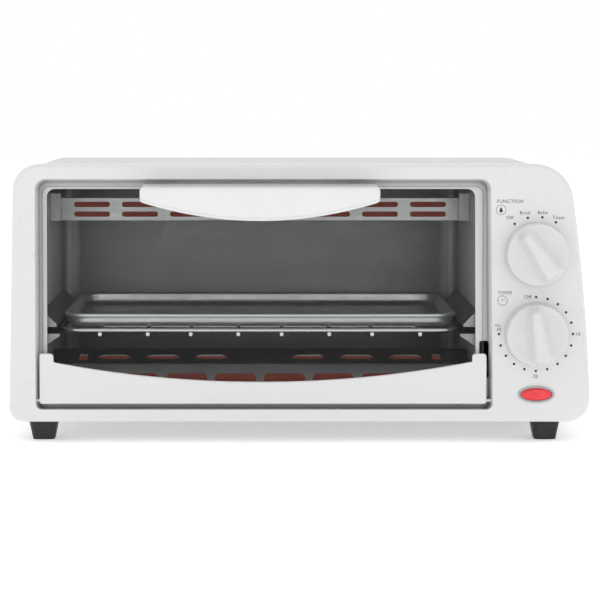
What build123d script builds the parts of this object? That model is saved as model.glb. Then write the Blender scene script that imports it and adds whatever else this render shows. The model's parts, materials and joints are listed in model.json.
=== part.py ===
from build123d import *
import math
import os

# A compact two-slice toaster oven, in millimetres.
# X runs to the right as the user faces the oven, Y runs from the front to the back, Z runs up.
# The origin is under the middle of the oven, on the surface that its feet stand on.

# ---------------------------------------------------------------- driving dimensions
HALF_W = 180.0  # half the width over the front frame
TOP_Z = 173.5  # the front frame's top edge
BOTTOM_Z = 13.6  # the front frame's bottom edge
FRONT_Y = -82.5  # the frame's front face, which depths are counted from
FRAME_DEPTH = 16.0
CABINET_END = 188.0  # depth of the cabinet's rear edge
SHEET = 1.0  # cabinet steel
LINER_SHEET = 0.8
FRAME_WALL = 2.2

CAVITY_X = -24.3  # the cavity's middle
CAVITY_HALF = 136.0
CAVITY_TOP = 165.0
CAVITY_BACK = 178.0
CAVITY_LOW = 28.0  # the back wall ends here, above the crumb tray
LINER_LOW = 21.6  # the side walls end here
CAVITY_R = 11.0

RECESS = (-163.2, 119.8, 21.4, 164.3)  # left, right, bottom, top of the door's recess
RECESS_LEAN = 1.6  # how far its right side leans in towards the top
RECESS_DRAFT = 1.8  # how far its walls close in between the face and the flange
WINDOW = (-156.7, 110.0, 31.5, 157.8)
WINDOW_LEAN = 0.8
FLANGE_T = 8.8  # depth of the face that the door closes on
FLANGE_WALL = 1.4
RECESS_WALL = 1.8
ARM_SLOT = (111.9, 118.0, 39.8, 63.3)  # where the door's arm passes through the flange

HINGE_T = 5.0
HINGE_Z = 26.5
PIN_R = 1.5
RUNNING = 0.05  # radial clearance of turning fits

GLASS = (-159.5, 114.2, 31.6, 159.9)
TRIM = (-160.9, 116.0, 24.8, 56.0)
GLASS_FRONT = 3.2
GLASS_BACK = 7.2
HANDLE_HALF = 72.8
HANDLE_REACH = 30.0
HANDLE_TOP = 161.3
HANDLE_END_Z = 151.6
HANDLE_LOW_Z = 140.1
HANDLE_WALL = 2.8

KNOB_X = 146.3
FUNCTION_Z = 118.1
TIMER_Z = 68.4
KNOB_R = 19.4
LAMP_X = 146.6
LAMP_Z = 31.0

RACK_HALF = 126.7  # to the middle of the side wires
RACK_Z = 68.6
RACK_WIRE_R = 1.3
RACK_FRONT = 20.0
RACK_BACK = 166.0
TRAY_HALF_W = 124.0
TRAY_FRONT = 22.0
TRAY_BACK = 170.0
TRAY_BASE_Z = 70.2
TRAY_RIM_Z = 78.9

HEATER_R = 5.0
UPPER_HEATER = (93.0, 140.4)  # depth, height
LOWER_HEATERS = ((60.0, 36.0), (72.0, 41.2))
SLOT_PITCH = 31.3


def depth(t):
    """The Y of a place t behind the front face."""
    return FRONT_Y + t


def front_plane(t):
    """The upright plane at depth t, looked at from the front."""
    return Plane((0, depth(t), 0), x_dir=(1, 0, 0), z_dir=(0, -1, 0))


def slab(outline, near, far):
    """A front-view outline filled from depth near to depth far."""
    return extrude(front_plane(far) * outline, far - near, dir=(0, -1, 0))


def drawn(profile, left, right):
    """A side-view profile, in depth and height, drawn out along X."""
    plane = Plane((left, FRONT_Y, 0), x_dir=(0, 1, 0), z_dir=(1, 0, 0))
    return extrude(plane * profile, right - left, dir=(1, 0, 0))


def block(x0, x1, t0, t1, z0, z1):
    """A box from its two corners, its depths counted from the front face."""
    middle = ((x0 + x1) / 2, depth((t0 + t1) / 2), (z0 + z1) / 2)
    return Pos(*middle) * Box(x1 - x0, t1 - t0, z1 - z0)


def rod_y(x, z, t0, t1, r):
    """A cylinder that runs from front to back."""
    return Pos(x, depth((t0 + t1) / 2), z) * Rot(90, 0, 0) * Cylinder(r, t1 - t0)


def rod_x(t, z, x0, x1, r):
    """A cylinder that runs from left to right."""
    return Pos((x0 + x1) / 2, depth(t), z) * Rot(0, 90, 0) * Cylinder(r, x1 - x0)


def rod_z(x, t, z0, z1, r):
    """An upright cylinder."""
    return Pos(x, depth(t), (z0 + z1) / 2) * Cylinder(r, z1 - z0)


def window_shape(edges, radius, grow=0.0):
    """A rounded rectangle from (left, right, bottom, top), made larger by grow."""
    left, right, low, high = edges
    shape = RectangleRounded(right - left + 2 * grow, high - low + 2 * grow, radius + grow)
    return Pos((left + right) / 2, (low + high) / 2) * shape


def leaning_shape(edges, lean, low_radius, high_radius):
    """A front-view opening whose right side leans in by lean towards the top, with round corners."""
    left, right, low, high = edges
    corners = {
        (left, low): low_radius,
        (right, low): low_radius,
        (right - lean, high): high_radius,
        (left, high): high_radius,
    }
    shape = make_face(Polyline(*corners, close=True))
    for (x, z), radius in corners.items():
        shape = fillet(near(shape.vertices(), x, z), radius)
    return shape


def recess_solid(grow, near_t, far_t):
    """The drafted space of the door's recess from the face to the flange, made larger by grow."""
    left, right, low, high = RECESS
    face = (left - grow, right + grow, low - grow, high + grow)
    back = (face[0] + RECESS_DRAFT, face[1] - RECESS_DRAFT, face[2], face[3] - RECESS_DRAFT)
    mouth = leaning_shape(face, RECESS_LEAN, 4.0 + grow, 6.5 + grow)
    floor = leaning_shape(back, RECESS_LEAN, 2.6 + grow, 5.0 + grow)
    return loft([(front_plane(near_t) * mouth).face(), (front_plane(far_t) * floor).face()])


def near(vertices, x, y):
    """The vertex of a flat shape that is nearest to a point."""
    return min(vertices, key=lambda v: math.hypot(v.X - x, v.Y - y))


def frame_outline(inset=0.0):
    """The front outline: a leaning left side, a bowed right side and four round corners."""
    corners = {
        (-HALF_W, BOTTOM_Z): 9.0,
        (HALF_W, BOTTOM_Z): 14.0,
        (HALF_W - 13.7, TOP_Z): 24.0,
        (3.0 - HALF_W, TOP_Z): 16.5,
    }
    low_left, low_right, high_right, high_left = corners
    shoulder = (HALF_W, 34.0)
    edges = [
        Line(low_left, low_right),
        Line(low_right, shoulder),
        ThreePointArc(shoulder, (HALF_W - 3.8, 93.0), high_right),
        Line(high_right, high_left),
        Line(high_left, low_left),
    ]
    shape = make_face(edges)
    for (x, y), radius in corners.items():
        shape = fillet(near(shape.vertices(), x, y), radius)
    if inset:
        shape = offset(shape, -inset)
    return shape


def slots(count, pitch, width, height, middle_x, middle_z):
    """A row of round-ended slots in front view."""
    row = [Pos(middle_x + (i - (count - 1) / 2) * pitch, middle_z) for i in range(count)]
    return [place * SlotOverall(width, height) for place in row]


def screws(points, head_t, head_r, head_h, shank_r, shank_len):
    """Pan-head screws driven forwards from depth head_t, as separate solids."""
    made = []
    for x, z in points:
        head = rod_y(x, z, head_t, head_t + head_h, head_r)
        head = fillet(head.edges().sort_by(Axis.Y)[-1], head_h * 0.45)
        drive = block(x - 0.45, x + 0.45, head_t + head_h * 0.5, head_t + 9, z - 2, z + 2)
        drive += block(x - 2, x + 2, head_t + head_h * 0.5, head_t + 9, z - 0.45, z + 0.45)
        made.append(head + rod_y(x, z, head_t - shank_len, head_t, shank_r) - drive)
    return made


# ---------------------------------------------------------------- casing
def front_frame():
    """The pressed front: a rounded face, the door's recess with its flange, and the panel's holes."""
    body = slab(frame_outline(), 0, FRAME_DEPTH)
    body = fillet(body.edges().group_by(Axis.Y)[0], 3.0)
    body -= slab(frame_outline(FRAME_WALL), FRAME_WALL, FRAME_DEPTH + 1)
    body += recess_solid(RECESS_WALL, 1.0, FLANGE_T + FLANGE_WALL)
    body -= recess_solid(0.0, -0.01, FLANGE_T)
    body -= slab(leaning_shape(WINDOW, WINDOW_LEAN, 5.0, 5.0), 0, 20)
    body -= slab(window_shape(ARM_SLOT, 1.8), 0, 20)
    for z in (FUNCTION_Z, TIMER_Z):
        body -= rod_y(KNOB_X, z, -2, 20, 5.2)
    body -= slab(Pos(LAMP_X, LAMP_Z) * Ellipse(10.3, 4.4), -2, 20)
    for left, right in ((-170, RECESS[0] + 3), (RECESS[1] - 3, 125)):
        body -= rod_x(HINGE_T, HINGE_Z, left, right, PIN_R + RUNNING)
    return body


def cabinet_ring():
    """The folded cabinet and base together: a tube of sheet with a return flange at the back."""
    ring = slab(frame_outline(1.6), FRAME_DEPTH, CABINET_END)
    ring -= slab(frame_outline(1.6 + SHEET), FRAME_DEPTH - 1, CABINET_END + 1)
    flange = slab(frame_outline(1.5 + SHEET), CABINET_END - SHEET, CABINET_END)
    flange -= slab(frame_outline(12.0), CABINET_END - 2, CABINET_END + 1)
    ring += flange
    ring -= block(CAVITY_X - 134.5, CAVITY_X + 134.5, CABINET_END - 3, CABINET_END + 2, 18.3, 28.2)
    for x, z in BACK_SCREWS:
        ring -= rod_y(x, z, CABINET_END - 3, CABINET_END + 2, 1.6)
    return ring


BACK_SCREWS = [
    (-172.5, 50.0),
    (-170.0, 140.0),
    (-90.0, 166.0),
    (70.0, 166.0),
    (166.0, 140.0),
    (171.5, 50.0),
]
CUT_Z = 27.0  # where the wrap's sides end and the base pan's begin


def cabinet_wrap():
    """The top and both sides, folded from one sheet, with louvred slots beside the controls."""
    wrap = cabinet_ring() - block(-200, 200, -10, 220, 0, CUT_Z)
    for i in range(7):
        z = 62.0 + i * 11.0
        louvre = extrude(SlotOverall(60, 3.2, rotation=90), 20, both=True)
        slot = Pos(170, depth(96), z) * Rot(0, 90, 0) * louvre
        wrap -= slot
    return wrap


def base_pan():
    """The bottom sheet with upturned sides, cooling slots and holes for the feet's screws."""
    pan = cabinet_ring() & block(-200, 200, -10, 220, 0, CUT_Z - 0.2)
    for x, t in FEET:
        pan -= rod_z(x, t, 10, 30, 1.7)
    for i in range(5):
        pan -= block(126, 166, 70 + i * 12, 74 + i * 12, 10, 22)
    return pan


def back_cover():
    """The flat rear panel with louvres, the crumb tray's slot and the cord inlet's hole."""
    cover = slab(frame_outline(1.6), CABINET_END, CABINET_END + SHEET)
    cover -= block(CAVITY_X - 134.5, CAVITY_X + 134.5, CABINET_END - 3, CABINET_END + 5, 18.6, 28.0)
    for z in (62.0, 72.0, 82.0, 92.0, 120.0, 130.0):
        for row_slot in slots(5, 38.0, 30.0, 3.0, CAVITY_X, z):
            cover -= slab(row_slot, CABINET_END - 2, CABINET_END + 4)
    for x, z in BACK_SCREWS:
        cover -= rod_y(x, z, CABINET_END - 3, CABINET_END + 5, 1.6)
    cover -= rod_y(INLET[0], INLET[1], CABINET_END - 3, CABINET_END + 5, 7.1)
    for x, z in SPACERS:
        cover -= rod_y(x, z, CABINET_END - 3, CABINET_END + 5, 2.6)
    return cover


INLET = (150.0, 42.0)
SPACERS = [(-150.0, 105.0), (140.0, 105.0)]
REAR_END = 195.0


def rear_spacers():
    """Two push-in plastic stand-offs that keep the hot back away from a wall."""
    made = []
    for x, z in SPACERS:
        pad = rod_y(x, z, CABINET_END + SHEET, REAR_END, 9.0)
        pad = fillet(pad.edges().sort_by(Axis.Y)[-1], 2.0)
        made.append(pad + rod_y(x, z, CABINET_END - 3, CABINET_END + SHEET, 2.5))
    return made


def cord_inlet():
    """The snap-in bush that a mains lead passes through."""
    x, z = INLET
    bush = rod_y(x, z, CABINET_END + SHEET, CABINET_END + 4.6, 9.5)
    bush = fillet(bush.edges().sort_by(Axis.Y)[-1], 1.5)
    bush += rod_y(x, z, CABINET_END - 9, CABINET_END + SHEET, 7.0)
    return bush - rod_y(x, z, CABINET_END - 12, CABINET_END + 8, 3.6)


FEET = [(-160.2, 26.4), (154.8, 26.4), (-160.2, 162.0), (154.8, 162.0)]
FOOT_TOP = BOTTOM_Z + 1.6


def foot(x, t):
    """A tapered moulded foot with a recess under it for its screw."""
    low = Plane((x, depth(t), 0)) * RectangleRounded(13.6, 13.6, 3.0)
    high = Plane((x, depth(t), FOOT_TOP)) * RectangleRounded(19.4, 19.4, 4.0)
    shape = loft([low.face(), high.face()])
    shape -= rod_z(x, t, -1, 9, 3.8)
    return shape - rod_z(x, t, 8, 20, 1.7)


def foot_screws():
    """One screw up through each foot into the base pan."""
    made = []
    for x, t in FEET:
        made.append(rod_z(x, t, 6.6, 9.0, 3.2) + rod_z(x, t, 9.0, 21.0, 1.6))
    return made


# ---------------------------------------------------------------- oven cavity
def cavity_plan(grow=0.0):
    """The cavity in plan: round corners at the back, open at the front."""
    half = CAVITY_HALF + grow
    far = CAVITY_BACK + grow
    near_t = FLANGE_T + 1.4
    shape = Polygon(
        (CAVITY_X - half, depth(near_t)),
        (CAVITY_X + half, depth(near_t)),
        (CAVITY_X + half, depth(far)),
        (CAVITY_X - half, depth(far)),
        align=None,
    )
    back = [v for v in shape.vertices() if v.Y > depth(far) - 1]
    return fillet(back, CAVITY_R + grow)


def cavity_liner():
    """The plated steel box round the food: sides, back and ceiling, with holes for the heaters."""
    plan = Pos(0, 0, LINER_LOW) * cavity_plan(LINER_SHEET)
    outer = extrude(plan, CAVITY_TOP + LINER_SHEET - LINER_LOW)
    inner = extrude(cavity_plan(), CAVITY_TOP)
    liner = outer - inner
    liner -= block(-200, 200, 0, FLANGE_T + 1.4, 0, 200)
    liner -= block(CAVITY_X - 134.5, CAVITY_X + 134.5, CAVITY_BACK - 5, CAVITY_BACK + 5, 0, CAVITY_LOW)
    liner -= rod_x(*UPPER_HEATER, -200, 150, 6.6)
    for t, z in LOWER_HEATERS:
        liner -= rod_x(t, z, -200, 150, 6.1)
    return liner


def rack_rail(side):
    """A pressed runner on a side wall: two sloping lips with the rack's wire between them."""
    wall = CAVITY_HALF - 0.4
    lower = [(wall, 58.5), (wall - 10.5, 65.6), (wall - 10.5, 67.0), (wall, 67.0)]
    upper = [(wall, 71.4), (wall - 8.6, 71.4), (wall - 8.6, 73.0), (wall, 81.5)]
    spine = [(wall - 1.0, 66.5), (wall, 66.5), (wall, 72.0), (wall - 1.0, 72.0)]
    rail = None
    for shape in (lower, upper, spine):
        points = [(CAVITY_X + side * x, z) for x, z in shape]
        piece = slab(Polygon(*points, align=None), 14.0, 168.0)
        rail = piece if rail is None else rail + piece
    return rail


def heater_rod(t, z):
    """A sheathed element right across the cavity, its pins standing out at both ends."""
    rod = rod_x(t, z, CAVITY_X - 143, CAVITY_X + 143, HEATER_R)
    rod += rod_x(t, z, CAVITY_X - 147, CAVITY_X + 147, 1.6)
    return rod


def heater_insulators(t, z, bush_r, collar_r):
    """The two ceramic bushes that hold an element's ends in the liner's walls."""
    made = []
    for side in (-1, 1):
        wall = CAVITY_X + side * (CAVITY_HALF + LINER_SHEET)
        ends = sorted((wall - side * 3.0, wall + side * 4.5))
        bush = rod_x(t, z, ends[0], ends[1], bush_r)
        ends = sorted((wall + side * 0.1, wall + side * 4.5))
        bush += rod_x(t, z, ends[0], ends[1], collar_r)
        made.append(bush - rod_x(t, z, ends[0] - 9, ends[1] + 9, HEATER_R + RUNNING))
    return made


def lower_insulators():
    """The bushes of both lower elements, small enough to stand side by side."""
    made = []
    for t, z in LOWER_HEATERS:
        made += heater_insulators(t, z, 6.0, 6.4)
    return made


def upper_guard():
    """The slotted guard in front of and under the upper element."""
    half = 130.0
    left, right = CAVITY_X - half, CAVITY_X + half
    line = Polyline((96.0, CAVITY_TOP - 17.0), (80.4, 148.2), (80.4, 134.6), (112.0, 134.6))
    profile = trace(line, LINER_SHEET)
    guard = drawn(profile, left, right)
    for z in (144.5, 138.2):
        for slot in slots(8, SLOT_PITCH, 23.6, 3.6, CAVITY_X, z):
            guard -= slab(slot, 76, 84)
    for i in range(8):
        x = CAVITY_X + (i - 3.5) * SLOT_PITCH
        for t in (88, 95, 102):
            guard -= block(x - 11.8, x + 11.8, t - 1.8, t + 1.8, 130, 138)
    for side in (-1, 1):
        x = CAVITY_X + side * (half + 0.4)
        guard += block(min(x, x - side * 1.2), max(x, x - side * 1.2), 70, 81, 134.5, 152)
        guard += block(min(x, x + side * 5.2), max(x, x + side * 5.2), 70, 70.8, 134.5, 152)
    return guard


def lower_guard():
    """The slotted hood over the lower elements: a front slope, a ridge and a rising top."""
    half = 134.6
    line = Polyline((41.0, 29.4), (51.5, 43.3), (80.0, 49.7), (83.5, 42.9))
    guard = drawn(trace(line, LINER_SHEET), CAVITY_X - half, CAVITY_X + half)
    for slot in slots(8, SLOT_PITCH, 26.8, 7.2, CAVITY_X, 34.6):
        guard -= slab(slot, 40, 49)
    top = Plane((CAVITY_X, depth(64.5), 40))
    for place in (-3, -2, -1, 1, 2, 3):
        slot = Pos(place * SLOT_PITCH, 0) * SlotOverall(20.4, 7.6)
        guard -= extrude(top * slot, 15)
    for side in (-1, 1):
        x = CAVITY_X + side * 114
        guard -= block(x - 2.6, x + 2.6, 59, 69, 40, 55)
    return guard


def wire_path(points, radius):
    """A bent wire's centre line: straight runs with round bends."""
    return FilletPolyline(*[(x, depth(t), z) for x, t, z in points], radius=radius)


def wire(points, radius, wire_r):
    """A round wire along a bent path."""
    path = wire_path(points, radius)
    section = Plane(origin=path @ 0, z_dir=path % 0) * Circle(wire_r)
    return sweep(section, path)


def wire_rack():
    """The chromed rack: a round-cornered frame, an inner hoop and eight bars bent under its front."""
    loop = RectangleRounded(2 * RACK_HALF, RACK_BACK - RACK_FRONT, 16.0)
    middle = depth((RACK_FRONT + RACK_BACK) / 2)
    path = (Pos(CAVITY_X, middle, RACK_Z) * loop).wire()
    section = Plane(origin=path @ 0, z_dir=path % 0) * Circle(RACK_WIRE_R)
    rack = sweep(section, path)
    under = RACK_Z - RACK_WIRE_R - 1.0
    for offset_x in (13.6, 43.4, 70.3, 100.3):
        for side in (-1, 1):
            x = CAVITY_X + side * offset_x
            points = [
                (x, RACK_FRONT - 1.6, under),
                (x, RACK_FRONT + 2.5, under),
                (x, RACK_FRONT + 8.0, RACK_Z + 0.1),
                (x, RACK_BACK - 8.0, RACK_Z + 0.1),
                (x, RACK_BACK - 2.5, under),
                (x, RACK_BACK + 1.6, under),
            ]
            rack += wire(points, 1.6, 1.2)
    for t in (62.0, 124.0):
        rack += rod_x(t, RACK_Z - 2.0, CAVITY_X - 103.0, CAVITY_X + 103.0, 1.1)
    return rack


def tray_form(inset, low, high, radius):
    """A block with the tray's plan, its corners round and its sides leaning out."""
    middle = depth((TRAY_FRONT + TRAY_BACK) / 2)
    width, length = 2 * TRAY_HALF_W, TRAY_BACK - TRAY_FRONT
    lean = 2.2
    base = RectangleRounded(width - 2 * inset - 2 * lean, length - 2 * inset - 2 * lean, radius - lean)
    rim = RectangleRounded(width - 2 * inset, length - 2 * inset, radius)
    lower = Pos(CAVITY_X, middle, low) * base
    upper = Pos(CAVITY_X, middle, high) * rim
    return loft([lower.face(), upper.face()])


def bake_tray():
    """The pressed baking tray: leaning walls, large corners and a flanged rim."""
    rim_w = 3.2
    body = tray_form(rim_w, TRAY_BASE_Z, TRAY_RIM_Z, 20.0)
    floor_edge = body.edges().group_by(Axis.Z)[0]
    body = fillet(floor_edge, 2.2)
    hollow = tray_form(rim_w + LINER_SHEET, TRAY_BASE_Z + LINER_SHEET, TRAY_RIM_Z + 0.01, 19.2)
    hollow = fillet(hollow.edges().group_by(Axis.Z)[0], 1.6)
    middle = depth((TRAY_FRONT + TRAY_BACK) / 2)
    rim = Pos(CAVITY_X, middle, TRAY_RIM_Z - 0.9) * extrude(
        RectangleRounded(2 * TRAY_HALF_W, TRAY_BACK - TRAY_FRONT, 23.0), 0.9
    )
    tray = body + rim - hollow
    lip = Pos(CAVITY_X, middle, TRAY_RIM_Z - 2.0) * extrude(
        RectangleRounded(2 * TRAY_HALF_W, TRAY_BACK - TRAY_FRONT, 23.0)
        - RectangleRounded(2 * TRAY_HALF_W - 1.6, TRAY_BACK - TRAY_FRONT - 1.6, 22.2),
        1.5,
    )
    return tray + lip


def crumb_tray():
    """The shallow tray under the lower element, drawn out at the back by its folded tab."""
    half = 132.6
    tray = block(CAVITY_X - half, CAVITY_X + half, 13.0, CABINET_END + 4.0, 19.2, 25.2)
    tray -= block(CAVITY_X - half + 0.9, CAVITY_X + half - 0.9, 13.9, CABINET_END + 3.1, 20.1, 30)
    tray += block(CAVITY_X - 32, CAVITY_X + 32, CABINET_END + 3.1, CABINET_END + 6.6, 24.3, 25.2)
    return tray


# ---------------------------------------------------------------- door
def trim_outline():
    """The door's lower strip: an ear at each end and a long smiling edge between them."""
    left, right, low, high = TRIM
    left_ear, right_ear = (-152.2, 50.6), (107.1, 51.0)  # the ears' inner feet, where the smile ends
    edges = [
        Line((left, low), (right, low)),
        Line((right, low), (right, high)),
        Line((right, high), (right_ear[0], high)),
        Line((right_ear[0], high), right_ear),
        ThreePointArc(right_ear, (-21.0, 38.4), left_ear),
        Line(left_ear, (left_ear[0], high)),
        Line((left_ear[0], high), (left, high)),
        Line((left, high), (left, low)),
    ]
    shape = make_face(edges)
    rounding = {
        (right, high): 2.0,
        (right_ear[0], high): 2.2,
        (left_ear[0], high): 2.2,
        (left, high): 1.2,
        left_ear: 1.4,
        (left, low): 1.5,
        (right, low): 1.5,
    }
    for (x, z), radius in rounding.items():
        shape = fillet(near(shape.vertices(), x, z), radius)
    return shape


def door_lower_trim():
    """The painted strip that holds the glass's lower edge and carries the hinge knuckles."""
    trim = slab(trim_outline(), 1.4, GLASS_FRONT - 0.05)
    trim = fillet(trim.faces().sort_by(Axis.Y)[0].edges(), 0.6)
    trim += block(-158.0, 112.4, 2.0, 8.2, 30.0, 31.5)
    trim += block(-158.0, 112.4, GLASS_BACK + 0.1, 8.2, 30.0, 38.0)
    for x0, x1 in ((-159.9, -148.0), (103.0, 113.4)):
        trim += rod_x(HINGE_T, HINGE_Z, x0, x1, 2.4)
        trim += block(x0, x1, 2.0, HINGE_T, HINGE_Z - 1.5, HINGE_Z + 2.0)
    for x0, x1 in ((-165, -152.0), (107.0, 120)):
        trim -= rod_x(HINGE_T, HINGE_Z, x0, x1, PIN_R + RUNNING)
    return trim


def door_glass():
    """The toughened pane, with two holes for the handle's screws."""
    pane = slab(window_shape(GLASS, 5.0), GLASS_FRONT, GLASS_BACK)
    pane = chamfer(pane.edges().group_by(Axis.Y)[0], 0.5)
    for x in HANDLE_SCREW_X:
        pane -= rod_y(x, HANDLE_SCREW_Z, 0, 10, 2.2)
    return pane


HANDLE_SCREW_X = (CAVITY_X - 58.0, CAVITY_X + 58.0)
HANDLE_SCREW_Z = 153.6


def door_handle():
    """The moulded visor pull: a deep ledge, a bowed front face and two screw posts."""
    left, right = CAVITY_X - HANDLE_HALF, CAVITY_X + HANDLE_HALF
    edges = [
        Line((left, HANDLE_TOP), (right, HANDLE_TOP)),
        Line((right, HANDLE_TOP), (right, HANDLE_END_Z)),
        ThreePointArc((right, HANDLE_END_Z), (CAVITY_X, HANDLE_LOW_Z), (left, HANDLE_END_Z)),
        Line((left, HANDLE_END_Z), (left, HANDLE_TOP)),
    ]
    outline = make_face(edges)
    bar = slab(outline, -HANDLE_REACH, GLASS_FRONT - 0.1)
    uprights = bar.edges().filter_by(Axis.Y)
    bar = fillet(uprights.group_by(Axis.Z)[-1], 2.5)
    bar = fillet(bar.faces().sort_by(Axis.Y)[0].edges(), 2.0)
    inner_left, inner_right = left + HANDLE_WALL, right - HANDLE_WALL
    inner_top = HANDLE_TOP - HANDLE_WALL
    hollow = block(inner_left, inner_right, HANDLE_WALL - HANDLE_REACH, 5, 120, inner_top)
    front_corners = hollow.edges().filter_by(Axis.X).group_by(Axis.Y)[0]
    hollow = fillet(front_corners.sort_by(Axis.Z)[-1], 3.0)
    bar -= hollow
    for x in HANDLE_SCREW_X:
        post = rod_y(x, HANDLE_SCREW_Z, 1 - HANDLE_REACH, GLASS_FRONT - 0.1, 4.2)
        bar += post
        bar -= rod_y(x, HANDLE_SCREW_Z, -12, 5, 1.55)
    return bar


def handle_screws():
    """Two screws through the glass into the handle's posts, on soft washers."""
    made = []
    for x in HANDLE_SCREW_X:
        screw = rod_y(x, HANDLE_SCREW_Z, GLASS_BACK + 0.6, GLASS_BACK + 2.4, 3.4)
        screw = fillet(screw.edges().sort_by(Axis.Y)[-1], 0.8)
        made.append(screw + rod_y(x, HANDLE_SCREW_Z, -10, GLASS_BACK + 0.6, 1.5))
    return made


def handle_washers():
    """The fibre washers between the screws' heads and the glass."""
    made = []
    for x in HANDLE_SCREW_X:
        ring = rod_y(x, HANDLE_SCREW_Z, GLASS_BACK, GLASS_BACK + 0.6, 4.0)
        made.append(ring - rod_y(x, HANDLE_SCREW_Z, 0, 12, 1.6))
    return made


ARM_X = (114.3, 115.6)


def door_arm():
    """The sector arm on the door's right ear: it draws through the slot about the hinge line."""
    outer, inner = 28.5, 17.0
    plane = Plane((ARM_X[0], depth(HINGE_T), HINGE_Z), x_dir=(0, 1, 0), z_dir=(1, 0, 0))
    ring = Circle(outer) - Circle(inner)
    quarter = Pos(outer / 2 + 1.4, outer / 2 + 1.4) * Rectangle(outer + 2.6, outer - 2.6)
    arm = extrude(plane * (ring & quarter), ARM_X[1] - ARM_X[0])
    tab = block(109.0, ARM_X[1], 7.3, 8.1, HINGE_Z + inner + 1.5, HINGE_Z + outer - 3.0)
    return arm + tab


def hinge_pin(x0, x1):
    """A plated hinge pin, fixed in the frame, that the door's knuckle turns on."""
    pin = rod_x(HINGE_T, HINGE_Z, x0, x1, PIN_R)
    return chamfer(pin.edges().filter_by(GeomType.CIRCLE), 0.3)


def hinge_bracket(side):
    """A small plate behind the recess wall that steadies the hinge pin."""
    wall = RECESS[0] - 1.8 if side < 0 else RECESS[1] + 1.8
    far = wall + side * 2.0
    plate = block(min(wall, far), max(wall, far), 2.4, 15.0, 22.0, 38.0)
    return plate - rod_x(HINGE_T, HINGE_Z, -200, 200, PIN_R + RUNNING)


def door_spring():
    """The torsion spring round the right hinge pin, as the sleeve that its coils fill, with its leg."""
    coil = rod_x(HINGE_T, HINGE_Z, 124.0, 130.8, 2.7) - rod_x(HINGE_T, HINGE_Z, 120, 134, 1.75)
    leg = rod_y(130.2, HINGE_Z - 2.2, HINGE_T, HINGE_T + 24, 0.5)
    return coil + leg


# ---------------------------------------------------------------- controls
def knob(z, angle):
    """A moulded knob: a stepped skirt, a domed cap and a tapered finger bar turned clockwise by angle."""
    skirt = rod_y(KNOB_X, z, -6.5, -0.6, KNOB_R)
    skirt = fillet(skirt.edges().group_by(Axis.Y)[0], 1.6)
    cap = rod_y(KNOB_X, z, -10.5, -5.0, KNOB_R - 2.4)
    cap = fillet(cap.edges().group_by(Axis.Y)[0], 2.6)
    body = skirt + cap
    turned = Rot(0, angle, 0) * Rot(90, 0, 0)
    low = Pos(KNOB_X, depth(-9.0), z) * turned * RectangleRounded(11.5, 2 * KNOB_R - 6.5, 5.0)
    high = Pos(KNOB_X, depth(-19.5), z) * turned * RectangleRounded(7.6, 2 * KNOB_R - 10.0, 3.6)
    bar = loft([low.face(), high.face()])
    bar = fillet(bar.edges().group_by(Axis.Y)[0], 1.6)
    body += bar
    return body - rod_y(KNOB_X, z, -13.0, 2.0, 3.0 + 0.02)


def shaft(z, end_t):
    """A knob's metal shaft, from inside the knob to inside its switch or timer."""
    return rod_y(KNOB_X, z, -12.6, end_t, 3.0)


BRACKET_T = 9.0


def control_bracket():
    """The steel plate behind the panel that carries the switch and the timer."""
    plate = block(124.5, 168.0, BRACKET_T, BRACKET_T + 1.2, 45.0, 142.0)
    for x0 in (124.5, 166.8):
        plate += block(x0, x0 + 1.2, FRAME_WALL + 0.1, BRACKET_T + 1.2, 84.0, 102.0)
    for z in (FUNCTION_Z, TIMER_Z):
        plate -= rod_y(KNOB_X, z, 0, 20, 4.6)
    return plate


def control_body(z, half_w, half_h, back_t, bore_end):
    """A moulded control body behind the bracket, with the bush that its shaft turns in."""
    near_t = BRACKET_T + 1.2
    body = block(KNOB_X - half_w, KNOB_X + half_w, near_t, back_t, z - half_h, z + half_h)
    body = fillet(body.edges().filter_by(Axis.Y), 2.0)
    body += rod_y(KNOB_X, z, FRAME_WALL + 0.6, near_t, 4.5)
    return body - rod_y(KNOB_X, z, 0, bore_end, 3.0 + RUNNING)


def function_switch():
    """The four-way rotary switch, with its blade terminals."""
    body = control_body(FUNCTION_Z, 16.0, 15.0, 34.0, 28.6)
    for i in range(4):
        x = KNOB_X - 12.0 + i * 8.0
        body += block(x - 2.4, x + 2.4, 34.0, 42.0, FUNCTION_Z + 6.0, FUNCTION_Z + 6.8)
    return body


def timer_body():
    """The clockwork timer that cuts the power at the end of its run."""
    return control_body(TIMER_Z, 21.0, 20.0, 40.0, 32.6)


def timer_bell():
    """The little bell that the timer strikes."""
    bell = rod_y(KNOB_X, TIMER_Z, 41.5, 50.0, 15.0)
    bell = fillet(bell.edges().group_by(Axis.Y)[-1], 6.0)
    hollow = rod_y(KNOB_X, TIMER_Z, 40.0, 48.8, 13.8)
    bell -= fillet(hollow.edges().group_by(Axis.Y)[-1], 5.0)
    return bell + rod_y(KNOB_X, TIMER_Z, 40.0, 49.5, 2.0)


def lens_bezel():
    """The grey ring round the pilot light."""
    ring = Ellipse(11.2, 5.2) - Ellipse(9.9, 4.0)
    return slab(Pos(LAMP_X, LAMP_Z) * ring, -0.8, 0) + slab(
        Pos(LAMP_X, LAMP_Z) * (Ellipse(10.25, 4.35) - Ellipse(9.9, 4.0)), -0.1, 6.0
    )


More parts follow.
